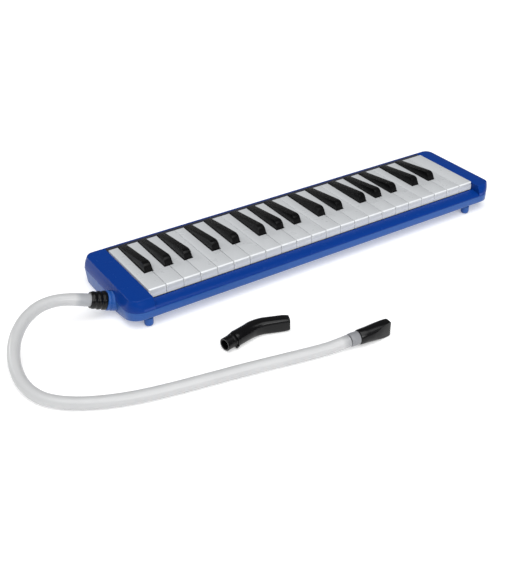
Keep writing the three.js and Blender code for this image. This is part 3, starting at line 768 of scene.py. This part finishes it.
def add_connector():
    ribs = [
        (9.1, 0.4), (9.3, 1.2), (9.3, 3.6), (8.5, 4.3), (8.5, 5.5), (8.95, 6.2), (8.95, 8.6),
        (8.2, 9.3), (8.2, 10.7), (8.5, 11.4), (8.5, 13.6), (8, 14.3), (7.9, 15.8),
    ]
    outline = [(3.6, -11), (6.6, -11), (6.6, 0.4), *ribs, (6.25, 15.8), (6.25, 7.4), (3.6, 7.4)]
    made = turned(outline, 0.4, 3, 72, pointing(PORT_END, PORT_OUT))
    return piece("fine_hose_connector", made, "soft_black", "hose_set", "hose_connector")


def add_feet():
    radius = FOOT["radius"]
    peg = [(0, 0), (2.8, 0.1), (4, 0.8), (radius, 2.2), (radius, 8.8), (2, 9.2), (2, 12.4), (0, 12.5)]
    for name, x in FOOT["xs"].items():
        made = turned(peg, 0.8, 4, 56, Matrix.Translation((x, FOOT["y"], 0)), closed=False)
        piece("fine_" + name, made, "case_blue", "case", name)


def add_screws():
    outline = [
        (0, 5.2), (2.9, 5.25), (3.5, 5.6), (3.7, 6.4), (3.7, 7.7), (1.5, 7.7), (1.5, 25.5), (0, 26.5),
    ]
    for name, x in SCREW["xs"].items():
        screw = lathe(softened(outline, 0.3, 3), 40)
        cross = [block((-2, -0.32, 4), (2, 0.32, 6.6)), block((-0.32, -2, 4), (0.32, 2, 6.6))]
        mesh = carved(screw, cross)
        mesh.transform(Matrix.Translation((x, SCREW["y"], 0)))
        piece("fine_" + name, mesh, "steel", "case", name)


def add_drain_button():
    radius = DRAIN["radius"]
    cap = [(0, 0.35), (1.8, 0.25), (2.8, 0), (3.5, 0.1), (radius, 0.7), (radius, 6)]
    outline = cap + [(1.6, 6), (1.6, 19.5), (0, 19.5)]
    place = pointing((DRAIN["end"], DRAIN["y"], DRAIN["z"]), (-1, 0, 0))
    made = turned(outline, 0.4, 4, 56, place, closed=False)
    piece("fine_drain_button", made, "cover_blue", "drain_plunger", "drain_button")


# ---- hose and mouthpieces -------------------------------------------------------------------------
def add_hose():
    data = bpy.data.curves.new("hose_tube", "CURVE")
    data.dimensions = "3D"
    data.bevel_depth = HOSE_RADIUS * MM
    data.bevel_resolution = 10
    data.resolution_u = 6
    data.use_fill_caps = True
    spline = data.splines.new("BEZIER")
    spline.bezier_points.add(len(HOSE_ROUTE) - 1)
    swollen = (1.05, 1.07, 1.07, 1.03)  # a little thicker at the connector
    for index, (knot, place) in enumerate(zip(spline.bezier_points, HOSE_ROUTE)):
        knot.co = place
        knot.radius = swollen[index] if index < len(swollen) else 1
        knot.handle_left_type = knot.handle_right_type = "AUTO"
    data.materials.append(MATERIALS["hose_clear"])
    made = bpy.data.objects.new("hose_tube", data)
    bpy.context.scene.collection.objects.link(made)
    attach(made, "hose_set")
    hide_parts("hose")


# The hose's mouthpiece is drawn along X from its root, then turned, rolled and put in its place.
MOUTH_FRAME = (
    DRAWING @ Matrix.Translation(MOUTH["root"])
    @ Matrix.Rotation(math.radians(MOUTH["turn"]), 4, "Z")
    @ Matrix.Rotation(math.radians(MOUTH["roll"]), 4, "X")
)


def squircle(half_width, top, bottom, power, count=64):
    """A closed ring in (across, up) between a circle (power 2) and a rounded box (larger powers)."""
    ring = []
    for index in range(count):
        angle = 2 * math.pi * index / count
        c, s = math.cos(angle), math.sin(angle)
        across = math.copysign(abs(c) ** (2 / power), c) * half_width
        up = math.copysign(abs(s) ** (2 / power), s) * (top if s > 0 else -bottom)
        ring.append((across, up))
    return ring


def add_hose_mouthpiece():
    """Round where the hose joins it, with a bill whose flat top meets the round body in a crescent."""
    # Each station is its distance from the root, half width, top, bottom and squircle power.
    stations = [
        (0, 6.4, 6.4, -6.4, 2), (0.4, 6.9, 6.9, -6.9, 2), (1.4, 7.25, 7.2, -7.2, 2),
        (8, 7.35, 7.2, -7.2, 2.1), (13, 7.5, 7.2, -7.15, 2.3), (18, 7.7, 7.1, -7, 2.6),
        (23, 7.9, 6.9, -6.7, 3), (28, 8, 6.7, -6.4, 3.4), (32.3, 7.95, 6.6, -6.1, 3.6),
        (33.5, 7.8, 6.4, -5.9, 3.6), (34.1, 7.5, 6.2, -5.6, 3.6), (34.5, 6.9, 5.8, -5.1, 3.6),
    ]
    rings = []
    for distance, half_width, top, bottom, power in stations:
        ring = squircle(half_width, top, bottom, power)
        rings.append([(distance, across, up) for across, up in ring])
    bill = prism_y([(13, 7.4), (36, 2.9), (36, 12), (13, 12)], -12, 12)
    slot = block((22, -4.5, -3.6), (36, 4.5, 2))
    bore = cylinder((-1, 0, 0), (27, 0, 0), 3.2)
    seat = cylinder((-1, 0, 0), (3, 0, 0), 5.4)
    mesh = carved(loft(rings), [bill, slot, bore, seat])

    def on_bill_top(at):
        return at.x > 11 and at.z > 2.3

    mesh = edges_rounded(mesh, 0.35, 3, on_bill_top)
    return piece("fine_hose_mouthpiece", mesh, "soft_black", "hose_set", "hose_mouthpiece",
                 transform=MOUTH_FRAME)


def add_hose_insert():
    outline = [
        (2.8, -9.6), (5.9, -9.6), (6.25, -9), (6.45, -6), (6.4, -0.3), (5, -0.3), (5, 2.6), (2.8, 2.6),
    ]
    made = turned(outline, 0.3, 3, 64, pointing((0, 0, 0), (1, 0, 0)))
    return piece("fine_hose_insert", made, "grey_insert", "hose_set", "hose_insert",
                 transform=MOUTH_FRAME)


def add_short_mouthpiece():
    """Lies on its side: a round spigot and shoulder, then a bent body that flattens to its tip."""
    bore_radius = 4.6
    slot_half_width = 1.9
    slot_half_height = 4.6
    centre = SHORT["tall"] / 2
    start, kink, tip = (Vector((*SHORT[key], centre)) for key in ("start", "kink", "tip"))
    first = (kink - start).normalized()
    second = (tip - kink).normalized()
    shoulder = start + first * 11.5
    forward = Vector((0, -0.2, 0))
    line = smooth_path([
        shoulder, shoulder + first * 8, shoulder + first * 17, kink - first * 5 + forward,
        kink + second * 5 + forward, kink + second * 15, tip,
    ], 6)
    rings = []
    last = len(line) - 1
    for index, point in enumerate(line):
        share = index / last
        way = way_at(line, index)
        side = Vector((way.y, -way.x, 0))
        half_across = 7.3 - 0.4 * share - 2.5 * max(0, share - 0.45)
        power = 2.3 + 3.4 * max(0, share - 0.35)
        close = 1 - 0.07 * max(0, 1 - index / 2) - 0.1 * max(0, 1 - (last - index) / 1.5)
        ring = squircle(half_across * close, centre * close, -centre * close, power)
        rings.append([tuple(point + side * across + Vector((0, 0, up))) for across, up in ring])
    spigot_outline = [
        (bore_radius, 0.3), (5.9, 0), (6.3, 0.5), (6.3, 8.4), (6.75, 8.8), (6.75, 10), (6.3, 10.4),
        (6.3, 13), (bore_radius, 13),
    ]
    spigot = turned(spigot_outline, 0.25, 3, 64, pointing(start, first))
    lug_side = Vector((first.y, -first.x, 0))
    lug_root = start + first * 10.4 + lug_side * 4.6 + Vector((0, 0, -3))
    lug_place = pointing(lug_root, lug_side + Vector((0, 0, -0.5)))
    lug = moved(block((-1.2, -1.5, 0), (1.2, 1.5, 3)), lug_place)
    bore = cylinder(start + first * 8, kink, bore_radius)
    across = Vector((second.y, -second.x, 0)) * slot_half_width
    back, front = kink - second * 2, tip + second * 3
    corners = [back + across, front + across, front - across, back - across]
    slot_plan = [(corner.x, corner.y) for corner in corners]
    slot = prism_z(slot_plan, centre - slot_half_height, centre + slot_half_height)
    mesh = carved(loft(rings), [bore, slot], [spigot, lug])
    piece("fine_short_mouthpiece", mesh, "soft_black", "short_mouthpiece_piece", "short_mouthpiece",
          angle=40)


# ---- assembly -------------------------------------------------------------------------------------
connector = add_connector()
hose_end = add_hose_mouthpiece()
insert = add_hose_insert()
add_hose()
piece("fine_top_cover", top_cover(), "cover_blue", "case", "top_cover", angle=34)
piece("fine_bottom_case", bottom_case(), "case_blue", "case", "bottom_case", angle=34)
add_keys()
add_port()
add_feet()
add_screws()
add_drain_button()
add_short_mouthpiece()
for node, slot_name in CAD_SLOTS.items():
    for material_slot in NODES[node].material_slots:
        material_slot.material = MATERIALS[slot_name]


# ---- floor and lights -----------------------------------------------------------------------------
FLOOR_LEVEL = -0.0002  # metres, just under the feet


def add_floor():
    """A plain white floor with a faint glow of its own, which softens the shadows."""
    made, nodes, links, shade = shader("floor_white")
    tone = noise(nodes, links, 3, 2)
    links.new(mixed(nodes, links, tone, (0.8, 0.8, 0.8), (0.82, 0.82, 0.82)), shade.inputs["Base Color"])
    shade.inputs["Roughness"].default_value = 0.9
    shade.inputs["Specular IOR Level"].default_value = 0.1
    shade.inputs["Emission Color"].default_value = (1, 1, 1, 1)
    shade.inputs["Emission Strength"].default_value = 0.3
    bm = bmesh.new()
    bmesh.ops.create_grid(bm, x_segments=2, y_segments=2, size=8)
    bmesh.ops.translate(bm, verts=bm.verts, vec=(0, 0, FLOOR_LEVEL))
    mesh = bpy.data.meshes.new("floor")
    bm.to_mesh(mesh)
    bm.free()
    mesh.materials.append(made)
    floor = bpy.data.objects.new("floor", mesh)
    bpy.context.scene.collection.objects.link(floor)


add_floor()
add_world(strength=0.16)
add_sun("overhead", place=(-0.15, -0.3, 0.92), spread_degrees=70, strength=2.7)
add_softbox("back_left", place=(-1.7, 2.1, 1.4), width=0.8, height=0.4, power=14)
add_softbox("front", place=(-0.3, -2.4, 1.3), width=1.6, height=0.8, power=24)
